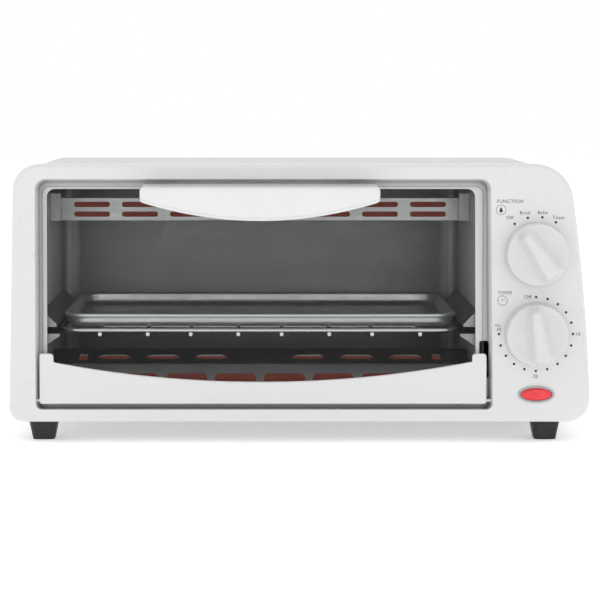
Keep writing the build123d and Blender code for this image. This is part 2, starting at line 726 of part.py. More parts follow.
def indicator_lens():
    """The red moulded lens, crowned in front and hollow behind."""
    low = front_plane(-0.3) * (Pos(LAMP_X, LAMP_Z) * Ellipse(9.8, 3.9))
    high = front_plane(-2.2) * (Pos(LAMP_X, LAMP_Z) * Ellipse(6.8, 2.1))
    crown = loft([low.face(), high.face()])
    stem = slab(Pos(LAMP_X, LAMP_Z) * Ellipse(9.8, 3.9), -0.3, 9.0)
    hollow = slab(Pos(LAMP_X, LAMP_Z) * Ellipse(8.6, 2.9), 0.6, 10.0)
    return crown + stem - hollow


def indicator_lamp():
    """The neon lamp behind the lens, on its little holder."""
    bulb = rod_y(LAMP_X, LAMP_Z, 2.2, 12.0, 2.3)
    bulb = fillet(bulb.edges().group_by(Axis.Y)[0], 1.8)
    return bulb + block(LAMP_X - 5.0, LAMP_X + 5.0, 12.0, 20.0, LAMP_Z - 3.6, LAMP_Z + 3.6)


def heat_shield():
    """The bright sheet that keeps the cavity's heat from the controls."""
    shield = block(125.0, 125.8, 56.0, 184.0, 20.0, 158.0)
    return shield + block(125.0, 133.0, 183.2, 184.0, 60.0, 158.0)


def thermal_cutout():
    """The button thermostat clamped to the cavity's wall, with its two blades."""
    wall = CAVITY_X + CAVITY_HALF + LINER_SHEET
    button = rod_x(110.0, 118.0, wall + 0.05, wall + 6.0, 8.0)
    button = fillet(button.edges().group_by(Axis.X)[-1], 1.0)
    for t in (105.0, 115.0):
        button += block(wall + 5.0, wall + 10.5, t - 2.4, t + 2.4, 117.6, 118.4)
    return button


def terminal_block():
    """The three-way screw terminal where the mains comes in."""
    body = block(132.0, 160.0, 122.0, 138.0, 18.4, 32.0)
    for i in range(3):
        x = 137.0 + i * 9.0
        body -= rod_z(x, 130.0, 26.0, 40.0, 2.4)
        body -= rod_y(x, 23.5, 115.0, 145.0, 1.8)
    return body


NODES = {
    "front_frame": front_frame,
    "cabinet_wrap": cabinet_wrap,
    "base_pan": base_pan,
    "back_cover": back_cover,
    "rear_spacers": rear_spacers,
    "cord_inlet": cord_inlet,
    "case_screws": lambda: screws(BACK_SCREWS, CABINET_END + SHEET, 3.2, 2.0, 1.5, 7.0),
    "foot_front_left": lambda: foot(*FEET[0]),
    "foot_front_right": lambda: foot(*FEET[1]),
    "foot_rear_left": lambda: foot(*FEET[2]),
    "foot_rear_right": lambda: foot(*FEET[3]),
    "foot_screws": foot_screws,
    "cavity_liner": cavity_liner,
    "left_rack_rail": lambda: rack_rail(-1),
    "right_rack_rail": lambda: rack_rail(1),
    "upper_heater": lambda: heater_rod(*UPPER_HEATER),
    "lower_heater": lambda: [heater_rod(t, z) for t, z in LOWER_HEATERS],
    "upper_heater_insulators": lambda: heater_insulators(*UPPER_HEATER, 6.5, 9.0),
    "lower_heater_insulators": lower_insulators,
    "upper_heater_guard": upper_guard,
    "lower_heater_guard": lower_guard,
    "heat_shield": heat_shield,
    "thermal_cutout": thermal_cutout,
    "wire_rack": wire_rack,
    "bake_tray": bake_tray,
    "crumb_tray": crumb_tray,
    "door_lower_trim": door_lower_trim,
    "door_glass": door_glass,
    "door_handle": door_handle,
    "handle_screws": handle_screws,
    "handle_washers": handle_washers,
    "door_arm": door_arm,
    "left_hinge_pin": lambda: hinge_pin(-169.0, -152.4),
    "right_hinge_pin": lambda: hinge_pin(107.4, 131.5),
    "left_hinge_bracket": lambda: hinge_bracket(-1),
    "right_hinge_bracket": lambda: hinge_bracket(1),
    "door_spring": door_spring,
    "function_knob": lambda: knob(FUNCTION_Z, -34.0),
    "function_shaft": lambda: shaft(FUNCTION_Z, 28.0),
    "function_switch": function_switch,
    "timer_knob": lambda: knob(TIMER_Z, -9.0),
    "timer_shaft": lambda: shaft(TIMER_Z, 32.0),
    "timer_body": timer_body,
    "timer_bell": timer_bell,
    "control_bracket": control_bracket,
    "lens_bezel": lens_bezel,
    "indicator_lens": indicator_lens,
    "indicator_lamp": indicator_lamp,
    "terminal_block": terminal_block,
}


def main():
    os.makedirs("parts", exist_ok=True)
    for name, make in NODES.items():
        shape = make()
        solids = shape if isinstance(shape, list) else [shape]
        compound = Compound(children=[s for item in solids for s in item.solids()])
        export_step(compound, f"parts/{name}.step")
        print(name, len(compound.solids()))


main()
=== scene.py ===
# %% [markdown]
# # A compact toaster oven
# The engineering model already holds every part at its real size and place, in metres, with
# Z up and the door facing -Y. This notebook dresses it. It loads that model as a fixed frame,
# gives each part a finish, and swaps the parts that hands and eyes meet first (handle, knobs,
# lens, tray) for smoother surfaces. Nothing here moves or resizes the design.

# %% Load the frame
import json
import math

import bmesh
import bpy
import numpy as np
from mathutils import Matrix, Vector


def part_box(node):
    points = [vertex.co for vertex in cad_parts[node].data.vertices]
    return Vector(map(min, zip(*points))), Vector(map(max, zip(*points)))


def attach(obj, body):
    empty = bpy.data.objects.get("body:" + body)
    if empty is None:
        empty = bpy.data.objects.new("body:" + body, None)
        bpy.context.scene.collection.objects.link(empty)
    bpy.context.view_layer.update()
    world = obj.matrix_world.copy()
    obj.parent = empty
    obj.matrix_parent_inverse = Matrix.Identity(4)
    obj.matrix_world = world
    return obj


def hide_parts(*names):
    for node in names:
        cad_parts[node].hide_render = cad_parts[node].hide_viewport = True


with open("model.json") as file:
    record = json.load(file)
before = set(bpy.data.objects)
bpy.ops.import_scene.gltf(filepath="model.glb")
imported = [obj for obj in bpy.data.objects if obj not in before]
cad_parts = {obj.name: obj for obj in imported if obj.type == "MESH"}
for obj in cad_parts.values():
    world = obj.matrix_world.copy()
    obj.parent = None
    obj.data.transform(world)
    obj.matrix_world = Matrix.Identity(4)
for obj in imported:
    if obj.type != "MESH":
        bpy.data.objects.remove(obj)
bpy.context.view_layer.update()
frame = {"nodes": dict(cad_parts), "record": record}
nodes = frame["nodes"]
MM = 0.001
FRONT = -0.0825  # the front face's Y, in metres
CAVITY_MID = -0.0243  # the cavity's middle in X

# %% [markdown]
# ## The camera
# A long lens a good stride away keeps the oven's sides nearly parallel. The lens stands a
# little above the oven and left of its middle, so that the cabinet's top is just seen and the
# cavity opens squarely. Part of the downward look is a tilt and part is lens shift, because
# shift alone would push the oven out of any other view.

# %% Camera
SENSOR = 36.0  # millimetres across
FOCAL = 2273.0 / 600.0  # focal length in picture widths
DISTANCE = 1.4  # from the front face, in metres
EYE_HEIGHT = 0.221
SHIFT_X, SHIFT_Y = 0.0667, -0.2  # lens shift in picture widths
TILT = 0.155  # how far the tilt alone moves the middle, in picture widths
camera_data = bpy.data.cameras.new("camera")
camera = bpy.data.objects.new("camera", camera_data)
bpy.context.collection.objects.link(camera)
bpy.context.scene.camera = camera
camera_data.sensor_width = SENSOR
camera_data.lens = FOCAL * SENSOR
camera_data.shift_x = SHIFT_X
camera_data.shift_y = SHIFT_Y
camera_data.clip_start = 0.05
camera_data.clip_end = 50.0
look_down = math.atan(TILT / FOCAL)
camera.location = (CAVITY_MID, FRONT - DISTANCE, EYE_HEIGHT)
camera.rotation_euler = (math.pi / 2 - look_down, 0.0, 0.0)
print("lens", round(camera_data.lens, 1), "mm, tilt", round(math.degrees(look_down), 2), "degrees")

# %% [markdown]
# ## Light and floor
# White goods are lit from all round, so that enamel reads as white and still shows its
# corners. The world is a plain pale dome; two large soft boxes add direction, one high on the
# left and one in front, which also reaches into the cavity. The floor is a plain pale sheet.

# %% Light and floor
scene = bpy.context.scene
scene.view_settings.view_transform = "Standard"
scene.view_settings.look = "None"
world = bpy.data.worlds.new("pale_dome")
scene.world = world
world.use_nodes = True
dome = world.node_tree.nodes["Background"]
dome.inputs["Color"].default_value = (1.0, 1.0, 1.0, 1.0)
dome.inputs["Strength"].default_value = 1.0


def soft_box(name, place, aim, width, height, watts):
    """An area lamp at place whose face is turned to aim."""
    lamp = bpy.data.lights.new(name, "AREA")
    lamp.shape = "RECTANGLE"
    lamp.size, lamp.size_y, lamp.energy = width, height, watts
    holder = bpy.data.objects.new(name, lamp)
    bpy.context.collection.objects.link(holder)
    holder.location = place
    away = np.array(place) - np.array(aim)
    flat = math.hypot(away[0], away[1])
    holder.rotation_euler = (math.atan2(flat, away[2]), 0.0, math.atan2(away[0], -away[1]))


soft_box("key", (-1.2, -0.9, 1.6), (0, 0, 0.08), 1.0, 1.0, 1.0)
soft_box("front", (0.3, -2.4, 0.35), (0, 0, 0.09), 1.2, 0.6, 1.2)


def node_material(name):
    """A new material with its Principled shader, and the tree that it lives in."""
    made = bpy.data.materials.new(name)
    made.use_nodes = True
    return made, made.node_tree, made.node_tree.nodes["Principled BSDF"]


def floor_sheet(half=6.0, level=-0.0002):
    """A square sheet just under the feet, large enough to fill every view."""
    corners = [(x * half, y * half, level) for x, y in ((-1, -1), (1, -1), (1, 1), (-1, 1))]
    mesh = bpy.data.meshes.new("floor")
    mesh.from_pydata(corners, [], [(0, 1, 2, 3)])
    sheet = bpy.data.objects.new("floor", mesh)
    bpy.context.collection.objects.link(sheet)
    made, _, shader = node_material("floor_pale")
    shader.inputs["Base Color"].default_value = (0.93, 0.93, 0.93, 1)
    shader.inputs["Roughness"].default_value = 0.9
    shader.inputs["Emission Color"].default_value = (1, 1, 1, 1)
    shader.inputs["Emission Strength"].default_value = 0.35
    mesh.materials.append(made)


floor_sheet()

# %% [markdown]
# ## Finishes: shared effects
# Five effects turn up on several parts. **Mottle** is slow variation, such as the orange peel
# of sprayed enamel. **Streaks** are the fine lines that rolling leaves in sheet metal.
# ** Wear** finds edges, where handling brightens metal or greys paint. **Painted shade** finds inner
# corners and darkens them as painted shade. **Painted fold light** finds side walls and upright
# bends of a folded sheet, and lightens them as painted light. Each is a node group, so it is built
# once and used with its own numbers.

# %% Shared effects


def new_group(name, inputs, outputs):
    """An empty shader group with float inputs as {name: value} and named float outputs."""
    group = bpy.data.node_groups.new(name, "ShaderNodeTree")
    for label, value in inputs.items():
        socket = group.interface.new_socket(label, in_out="INPUT", socket_type="NodeSocketFloat")
        socket.default_value = value
    for label in outputs:
        group.interface.new_socket(label, in_out="OUTPUT", socket_type="NodeSocketFloat")
    group.nodes.new("NodeGroupInput")
    group.nodes.new("NodeGroupOutput")
    return group


def ends(group):
    """A group's input and output nodes."""
    return group.nodes["Group Input"], group.nodes["Group Output"]


def wire_up(tree, *pairs):
    """Joins each (from socket, to socket) pair."""
    for source, target in pairs:
        tree.links.new(source, target)


def add_node(tree, kind, **values):
    """A node of that kind, with inputs set by name and properties set by lower-case name."""
    node = tree.nodes.new(kind)
    for label, value in values.items():
        if label in node.bl_rna.properties:
            setattr(node, label, value)
        else:
            node.inputs[label.replace("_", " ")].default_value = value
    return node


def mottle_group():
    """Slow noise and fine noise on object coordinates, added in the share that Fine says."""
    group = new_group("mottle", {"Scale": 400.0, "Fine": 0.3}, ["Height"])
    start, end = ends(group)
    where = add_node(group, "ShaderNodeTexCoord")
    slow = add_node(group, "ShaderNodeTexNoise", Detail=2.0)
    fine = add_node(group, "ShaderNodeTexNoise", Detail=1.0)
    faster = add_node(group, "ShaderNodeMath", operation="MULTIPLY")
    faster.inputs[1].default_value = 4.0
    mix = add_node(group, "ShaderNodeMix")
    wire_up(
        group,
        (where.outputs["Object"], slow.inputs["Vector"]),
        (where.outputs["Object"], fine.inputs["Vector"]),
        (start.outputs["Scale"], slow.inputs["Scale"]),
        (start.outputs["Scale"], faster.inputs[0]),
        (faster.outputs[0], fine.inputs["Scale"]),
        (start.outputs["Fine"], mix.inputs[0]),
        (slow.outputs["Fac"], mix.inputs[2]),
        (fine.outputs["Fac"], mix.inputs[3]),
        (mix.outputs[0], end.inputs["Height"]),
    )
    return group


def streaks_group():
    """Noise squeezed across the rolling direction: long along X, very fine across it."""
    group = new_group("streaks", {"Along": 12.0, "Across": 900.0}, ["Line", "Broad"])
    start, end = ends(group)
    where = add_node(group, "ShaderNodeTexCoord")
    squeeze = add_node(group, "ShaderNodeCombineXYZ")
    scaled = add_node(group, "ShaderNodeVectorMath", operation="MULTIPLY")
    line = add_node(group, "ShaderNodeTexNoise", Scale=1.0, Detail=3.0)
    broad = add_node(group, "ShaderNodeTexNoise", Scale=0.11, Detail=2.0)
    wire_up(
        group,
        (start.outputs["Along"], squeeze.inputs[0]),
        (start.outputs["Across"], squeeze.inputs[1]),
        (start.outputs["Across"], squeeze.inputs[2]),
        (where.outputs["Object"], scaled.inputs[0]),
        (squeeze.outputs[0], scaled.inputs[1]),
        (scaled.outputs[0], line.inputs["Vector"]),
        (scaled.outputs[0], broad.inputs["Vector"]),
        (line.outputs["Fac"], end.inputs["Line"]),
        (broad.outputs["Fac"], end.inputs["Broad"]),
    )
    return group


def wear_group():
    """How far a rounded-off normal leans from the true one: 0 on a flat, towards 1 on an edge."""
    group = new_group("wear", {"Reach": 0.0008, "Spread": 0.25}, ["Edge"])
    start, end = ends(group)
    rounded = add_node(group, "ShaderNodeBevel", samples=4)
    true = add_node(group, "ShaderNodeNewGeometry")
    dot = add_node(group, "ShaderNodeVectorMath", operation="DOT_PRODUCT")
    lean = add_node(group, "ShaderNodeMath", operation="SUBTRACT")
    lean.inputs[0].default_value = 1.0
    share = add_node(group, "ShaderNodeMath", operation="DIVIDE", use_clamp=True)
    wire_up(
        group,
        (start.outputs["Reach"], rounded.inputs["Radius"]),
        (rounded.outputs[0], dot.inputs[0]),
        (true.outputs["Normal"], dot.inputs[1]),
        (dot.outputs["Value"], lean.inputs[1]),
        (lean.outputs[0], share.inputs[0]),
        (start.outputs["Spread"], share.inputs[1]),
        (share.outputs[0], end.inputs["Edge"]),
    )
    return group


def painted_shade_group():
    """How closed-in a place is by its own part, the mask for painted shade: 0 in the open, towards
    1 in an inner corner.
    """
    group = new_group("painted_shade", {"Reach": 0.012, "Depth": 1.0}, ["Shade"])
    start, end = ends(group)
    open_sky = add_node(group, "ShaderNodeAmbientOcclusion", samples=8, only_local=True)
    closed = add_node(group, "ShaderNodeMath", operation="SUBTRACT")
    closed.inputs[0].default_value = 1.0
    deeper = add_node(group, "ShaderNodeMath", operation="MULTIPLY", use_clamp=True)
    wire_up(
        group,
        (start.outputs["Reach"], open_sky.inputs["Distance"]),
        (open_sky.outputs["AO"], closed.inputs[1]),
        (closed.outputs[0], deeper.inputs[0]),
        (start.outputs["Depth"], deeper.inputs[1]),
        (deeper.outputs[0], end.inputs["Shade"]),
    )
    return group


def painted_fold_light_group():
    """Masks for painted light: Side is 1 on a wall that faces along X, Bend is 1 half way round an
    upright fold.
    """
    group = new_group("painted_fold_light", {"Narrow": 0.8}, ["Side", "Bend"])
    start, end = ends(group)
    geometry = add_node(group, "ShaderNodeNewGeometry")
    parts = add_node(group, "ShaderNodeSeparateXYZ")
    across = add_node(group, "ShaderNodeMath", operation="ABSOLUTE")
    along = add_node(group, "ShaderNodeMath", operation="ABSOLUTE")
    both = add_node(group, "ShaderNodeMath", operation="MULTIPLY")
    double = add_node(group, "ShaderNodeMath", operation="MULTIPLY")
    double.inputs[1].default_value = 2.0
    band = add_node(group, "ShaderNodeMapRange")
    wire_up(
        group,
        (geometry.outputs["Normal"], parts.inputs[0]),
        (parts.outputs["X"], across.inputs[0]),
        (parts.outputs["Y"], along.inputs[0]),
        (across.outputs[0], both.inputs[0]),
        (along.outputs[0], both.inputs[1]),
        (both.outputs[0], double.inputs[0]),
        (double.outputs[0], band.inputs[0]),
        (start.outputs["Narrow"], band.inputs[1]),
        (across.outputs[0], end.inputs["Side"]),
        (band.outputs[0], end.inputs["Bend"]),
    )
    return group


MOTTLE, STREAKS, WEAR = mottle_group(), streaks_group(), wear_group()
PAINTED_SHADE, FOLD_LIGHT_MASKS = painted_shade_group(), painted_fold_light_group()


def place_group(tree, group, **values):
    """A shared effect placed in a material, its numbers set by name."""
    node = tree.nodes.new("ShaderNodeGroup")
    node.node_tree = group
    for label, value in values.items():
        node.inputs[label].default_value = value
    return node


def spread(tree, source, low, high, low_in=0.3, high_in=0.7):
    """Maps a 0 to 1 value onto the range low to high."""
    ramp = add_node(tree, "ShaderNodeMapRange")
    for index, value in ((1, low_in), (2, high_in), (3, low), (4, high)):
        ramp.inputs[index].default_value = value
    tree.links.new(source, ramp.inputs[0])
    return ramp.outputs[0]


def scaled_colour(colour, share):
    """A colour times a share, kept at or under full."""
    return tuple(min(1.0, c * share) for c in colour)


def tint(tree, source, dark, light):
    """Mixes two colours by a 0 to 1 value."""
    mix = add_node(tree, "ShaderNodeMix", data_type="RGBA")
    mix.inputs[6].default_value = (*dark, 1)
    mix.inputs[7].default_value = (*light, 1)
    tree.links.new(source, mix.inputs[0])
    return mix.outputs[2]


def cover(tree, base, source, colour):
    """Moves a colour socket towards a fixed colour by a 0 to 1 value."""
    mix = add_node(tree, "ShaderNodeMix", data_type="RGBA")
    mix.inputs[7].default_value = (*colour, 1)
    wire_up(tree, (base, mix.inputs[6]), (source, mix.inputs[0]))
    return mix.outputs[2]


def bump(tree, height, distance, strength=1.0):
    """A bump of that many metres driven by a height value."""
    made = add_node(tree, "ShaderNodeBump", Strength=strength, Distance=distance)
    tree.links.new(height, made.inputs["Height"])
    return made.outputs["Normal"]


# %% [markdown]
# ## Finishes: paint and plastic
# Baked enamel is a thin glossy skin over steel, so its surface ripples very slightly. Moulded
# white plastic is smoother but lets a little light in. Black feet are soft and dull with a
# fine grain from the mould.

# %% Paint and plastic


def enamel(name, colour, rough, ripple, gloss=0.5, painted_shade_depth=1.55):
    """Sprayed and baked paint: ripple, a slow change of gloss, greyer edges, and painted shade that
    darkens inner corners and recesses.
    """
    made, tree, shader = node_material(name)
    peel = place_group(tree, MOTTLE, Scale=260.0, Fine=0.25)
    patches = place_group(tree, MOTTLE, Scale=14.0, Fine=0.5)
    edge = place_group(tree, WEAR, Reach=0.0012, Spread=0.5)
    painted_shade_mask = place_group(tree, PAINTED_SHADE, Reach=0.006, Depth=painted_shade_depth)
    cloud = spread(tree, patches.outputs[0], 0.0, 1.0)
    base = tint(tree, cloud, scaled_colour(colour, 0.975), colour)
    base = cover(tree, base, edge.outputs[0], scaled_colour(colour, 0.93))
    # painted shade: in inner corners and recesses the colour darkens towards 12 per cent of itself
    base = cover(tree, base, painted_shade_mask.outputs[0], scaled_colour(colour, 0.12))
    wire_up(
        tree,
        (base, shader.inputs["Base Color"]),
        (spread(tree, patches.outputs[0], rough * 0.85, rough * 1.2), shader.inputs["Roughness"]),
        (bump(tree, peel.outputs[0], ripple), shader.inputs["Normal"]),
    )
    shader.inputs["Specular IOR Level"].default_value = gloss
    return made


def moulded(name, colour, rough, grain, grain_scale, sss=0.0):
    """Moulded plastic: a mould's fine grain, faint cloudiness and a soft shine."""
    made, tree, shader = node_material(name)
    fine = place_group(tree, MOTTLE, Scale=grain_scale, Fine=0.5)
    cloud = place_group(tree, MOTTLE, Scale=35.0, Fine=0.3)
    base = tint(tree, spread(tree, cloud.outputs[0], 0.0, 1.0), scaled_colour(colour, 0.96), colour)
    wire_up(
        tree,
        (base, shader.inputs["Base Color"]),
        (spread(tree, fine.outputs[0], rough * 0.85, rough * 1.15), shader.inputs["Roughness"]),
        (bump(tree, fine.outputs[0], grain), shader.inputs["Normal"]),
    )
    if sss:
        shader.inputs["Subsurface Weight"].default_value = sss
        shader.inputs["Subsurface Radius"].default_value = (0.6, 0.55, 0.5)
        shader.inputs["Subsurface Scale"].default_value = 0.002
    return made


white_enamel = enamel("white_enamel", (0.70, 0.70, 0.70), 0.30, 0.000012)
# the white enamel made darker and less glossy for the cabinet; the darker colour is painted shade
cabinet_enamel_painted_shade = enamel("cabinet_enamel_painted_shade", (0.62, 0.62, 0.62), 0.38, 0.000012, gloss=0.3)
white_plastic = moulded("white_plastic", (0.745, 0.745, 0.745), 0.20, 0.000004, 900.0, sss=0.12)
knob_plastic = moulded("knob_plastic", (0.66, 0.66, 0.66), 0.26, 0.000004, 900.0, sss=0.08)
grey_plastic = moulded("grey_plastic", (0.36, 0.36, 0.37), 0.45, 0.00001, 1500.0)
black_plastic = moulded("black_plastic", (0.018, 0.018, 0.018), 0.42, 0.000015, 1800.0)
foot_rubber = moulded("foot_rubber", (0.009, 0.009, 0.010), 0.5, 0.00003, 1600.0)
fibre = moulded("fibre", (0.32, 0.05, 0.03), 0.75, 0.00003, 2500.0)
ceramic = moulded("ceramic", (0.75, 0.72, 0.64), 0.7, 0.00002, 2200.0)

# %% [markdown]
# ## Finishes: metals
# Sheet metal is made by rolling, so its shine is streaky along one direction. Galvanised and
# aluminised sheet are duller than the plated wire and screws. Here one function makes them
# all from a colour, a roughness and the strength of the streaks.

# %% Metals
# colour of the painted highlight on upright bends
BEND_HIGHLIGHT_COLOUR = (0.95, 0.95, 0.95)


def sheet_metal(
    name, colour, rough, streak, metallic=1.0, painted_shade_reach=0.01, painted_shade_depth=0.3, painted_fold_light=0.0
):
    """Rolled sheet: streaks change its colour, gloss and surface; worn edges brighter; painted
    shade darkens inner corners.
    The last number, when set, paints light: side walls that many times brighter and a near-white
    highlight on upright bends."""
    made, tree, shader = node_material(name)
    lines = place_group(tree, STREAKS, Along=12.0, Across=900.0)
    patches = place_group(tree, MOTTLE, Scale=40.0, Fine=0.5)
    edge = place_group(tree, WEAR, Reach=0.0006, Spread=0.3)
    painted_shade_mask = place_group(tree, PAINTED_SHADE, Reach=painted_shade_reach, Depth=painted_shade_depth)
    band = spread(tree, lines.outputs["Broad"], 0.0, 1.0)
    base = tint(tree, band, scaled_colour(colour, 0.9), colour)
    # painted light: side walls lighter by the given factor, and a near-white painted highlight half
    # way round upright bends
    if painted_fold_light:
        facing = place_group(tree, FOLD_LIGHT_MASKS, Narrow=0.85)
        base = cover(tree, base, facing.outputs["Side"], scaled_colour(colour, painted_fold_light))
        base = cover(tree, base, facing.outputs["Bend"], BEND_HIGHLIGHT_COLOUR)
    polish = spread(tree, edge.outputs[0], 0.0, 0.7, 0.0, 1.0)
    base = cover(tree, base, polish, scaled_colour(colour, 1.5))
    # painted shade: in inner corners the colour darkens towards a tenth of itself
    base = cover(tree, base, painted_shade_mask.outputs[0], scaled_colour(colour, 0.1))
    blotch = add_node(tree, "ShaderNodeMath", operation="ADD")
    wire_up(
        tree,
        (base, shader.inputs["Base Color"]),
        (spread(tree, lines.outputs["Line"], -0.06, 0.06), blotch.inputs[0]),
        (spread(tree, patches.outputs[0], rough * 0.85, rough * 1.2), blotch.inputs[1]),
        (blotch.outputs[0], shader.inputs["Roughness"]),
        (bump(tree, lines.outputs["Line"], streak), shader.inputs["Normal"]),
    )
    shader.inputs["Metallic"].default_value = metallic
    return made


aluminised = sheet_metal("aluminised", (0.36, 0.35, 0.35), 0.46, 0.00002)
# the liner: painted shade reaching far into its corners, and painted light on its side walls and
# upright bends
liner_steel = sheet_metal(
    "liner_steel",
    (0.29, 0.29, 0.29),
    0.46,
    0.000006,
    metallic=0.4,
    painted_shade_reach=0.05,
    painted_shade_depth=1.35,
    painted_fold_light=2.2,
)
guard_steel = sheet_metal("guard_steel", (0.36, 0.36, 0.36), 0.36, 0.000005)
# a darker copy of the guard steel, as painted shade on the lower heater guard and the rack rails
hood_steel_painted_shade = sheet_metal("hood_steel_painted_shade", (0.30, 0.30, 0.30), 0.42, 0.000006)
galvanised = sheet_metal("galvanised", (0.52, 0.53, 0.54), 0.42, 0.000012)
tray_steel = sheet_metal(
    "tray_steel", (0.54, 0.54, 0.55), 0.34, 0.0000008, metallic=0.85, painted_shade_depth=0.1
)
plated_steel = sheet_metal("plated_steel", (0.66, 0.66, 0.66), 0.25, 0.000004)
plated_wire = sheet_metal("plated_wire", (0.52, 0.52, 0.53), 0.2, 0.000001)
bell_brass = sheet_metal("bell_brass", (0.72, 0.55, 0.25), 0.3, 0.000004)

# %% [markdown]
# ## Finishes: glass, lens and glow
# The pane is thin and clear: nearly all light goes straight through, and a little is mirrored,
# more so at a slant. A see-through shader is mixed with a mirror by that slant on both faces,
# and lets the lamps reach into the cavity. The elements glow a dull red.

# %% Glass, lens and glow


COOLING = 0.004  # the length over which a rod's glow dies away
MIRROR_SQUARE, MIRROR_SLANT = 0.006, 0.95  # the pane's mirror share seen squarely and edge on


def clear_pane():
    """Thin glass: see-through, a mirror whose share grows as (1 - cos)^5, and a ground edge."""
    made, tree, shader = node_material("clear_glass")
    tree.nodes.remove(shader)
    through = add_node(tree, "ShaderNodeBsdfTransparent")
    through.inputs["Color"].default_value = (0.972, 0.98, 0.977, 1)
    mirror = add_node(tree, "ShaderNodeBsdfGlossy")
    mirror.inputs["Color"].default_value = (0.9, 0.9, 0.9, 1)
    edge = place_group(tree, WEAR, Reach=0.0010, Spread=0.25)
    ground = add_node(tree, "ShaderNodeBsdfDiffuse")
    ground.inputs["Color"].default_value = (0.10, 0.12, 0.115, 1)
    geometry = add_node(tree, "ShaderNodeNewGeometry")
    facing = add_node(tree, "ShaderNodeVectorMath", operation="DOT_PRODUCT")
    square = add_node(tree, "ShaderNodeMath", operation="ABSOLUTE")
    slant = add_node(tree, "ShaderNodeMath", operation="SUBTRACT")
    slant.inputs[0].default_value = 1.0
    fifth = add_node(tree, "ShaderNodeMath", operation="POWER")
    fifth.inputs[1].default_value = 5.0
    wipes = place_group(tree, MOTTLE, Scale=9.0, Fine=0.4)
    mix = add_node(tree, "ShaderNodeMixShader")
    edged = add_node(tree, "ShaderNodeMixShader")
    wire_up(
        tree,
        (geometry.outputs["Incoming"], facing.inputs[0]),
        (geometry.outputs["Normal"], facing.inputs[1]),
        (facing.outputs["Value"], square.inputs[0]),
        (square.outputs[0], slant.inputs[1]),
        (slant.outputs[0], fifth.inputs[0]),
        (spread(tree, fifth.outputs[0], MIRROR_SQUARE, MIRROR_SLANT, 0.0, 1.0), mix.inputs[0]),
        (spread(tree, wipes.outputs[0], 0.02, 0.07), mirror.inputs["Roughness"]),
        (through.outputs[0], mix.inputs[1]),
        (mirror.outputs[0], mix.inputs[2]),
        (edge.outputs[0], edged.inputs[0]),
        (mix.outputs[0], edged.inputs[1]),
        (ground.outputs[0], edged.inputs[2]),
        (edged.outputs[0], tree.nodes["Material Output"].inputs["Surface"]),
    )
    return made


def glowing(name, colour, glow, strength, middle=0.0, half=1.0):
    """A dark sheath that gives off a dull light, blotchy and cold beyond half from the middle."""
    made, tree, shader = node_material(name)
    blotch = place_group(tree, MOTTLE, Scale=90.0, Fine=0.5)
    where = add_node(tree, "ShaderNodeTexCoord")
    along = add_node(tree, "ShaderNodeSeparateXYZ")
    from_middle = add_node(tree, "ShaderNodeMath", operation="SUBTRACT")
    from_middle.inputs[1].default_value = middle
    size = add_node(tree, "ShaderNodeMath", operation="ABSOLUTE")
    heat = spread(tree, size.outputs[0], strength, 0.0, half - COOLING, half)
    patch = spread(tree, blotch.outputs[0], 0, 1)
    wire_up(
        tree,
        (where.outputs["Object"], along.inputs[0]),
        (along.outputs["X"], from_middle.inputs[0]),
        (from_middle.outputs[0], size.inputs[0]),
        (heat, shader.inputs["Emission Strength"]),
        (tint(tree, patch, scaled_colour(colour, 0.7), colour), shader.inputs["Base Color"]),
        (tint(tree, patch, scaled_colour(glow, 0.8), glow), shader.inputs["Emission Color"]),
        (spread(tree, blotch.outputs[0], 0.5, 0.65), shader.inputs["Roughness"]),
        (bump(tree, blotch.outputs[0], 0.00002), shader.inputs["Normal"]),
    )
    return made


def lens_plastic():
    """Clear red plastic over a lamp: it glows a little from inside."""
    made, tree, shader = node_material("red_lens")
    cloud = place_group(tree, MOTTLE, Scale=220.0, Fine=0.4)
    patch = spread(tree, cloud.outputs[0], 0, 1)
    base = tint(tree, patch, (0.62, 0.005, 0.01), (0.80, 0.02, 0.03))
    glow = tint(tree, patch, (0.7, 0.01, 0.02), (1.0, 0.05, 0.06))
    wire_up(
        tree,
        (base, shader.inputs["Base Color"]),
        (glow, shader.inputs["Emission Color"]),
        (spread(tree, cloud.outputs[0], 0.08, 0.14), shader.inputs["Roughness"]),
        (bump(tree, cloud.outputs[0], 0.000004), shader.inputs["Normal"]),
    )
    shader.inputs["Emission Strength"].default_value = 0.06
    shader.inputs["Coat Weight"].default_value = 0.6
    return made


clear_glass = clear_pane()
element = glowing(
    "element", (0.06, 0.025, 0.02), (0.85, 0.15, 0.10), 0.11, middle=CAVITY_MID, half=0.132
)
red_lens = lens_plastic()
lamp_glass = glowing("lamp_glass", (0.6, 0.3, 0.2), (1.0, 0.3, 0.1), 0.4)

# %% [markdown]
# ## Dressing the parts
# The record says which material slot each part uses, and each slot has one finish above. A few
# parts of a slot are listed with a finish of their own: the cabinet, the lower heater guard and the
# rack rails take darker copies as painted shade, the liner carries painted light and shade, and the
# upper heater guard differs in sheen.

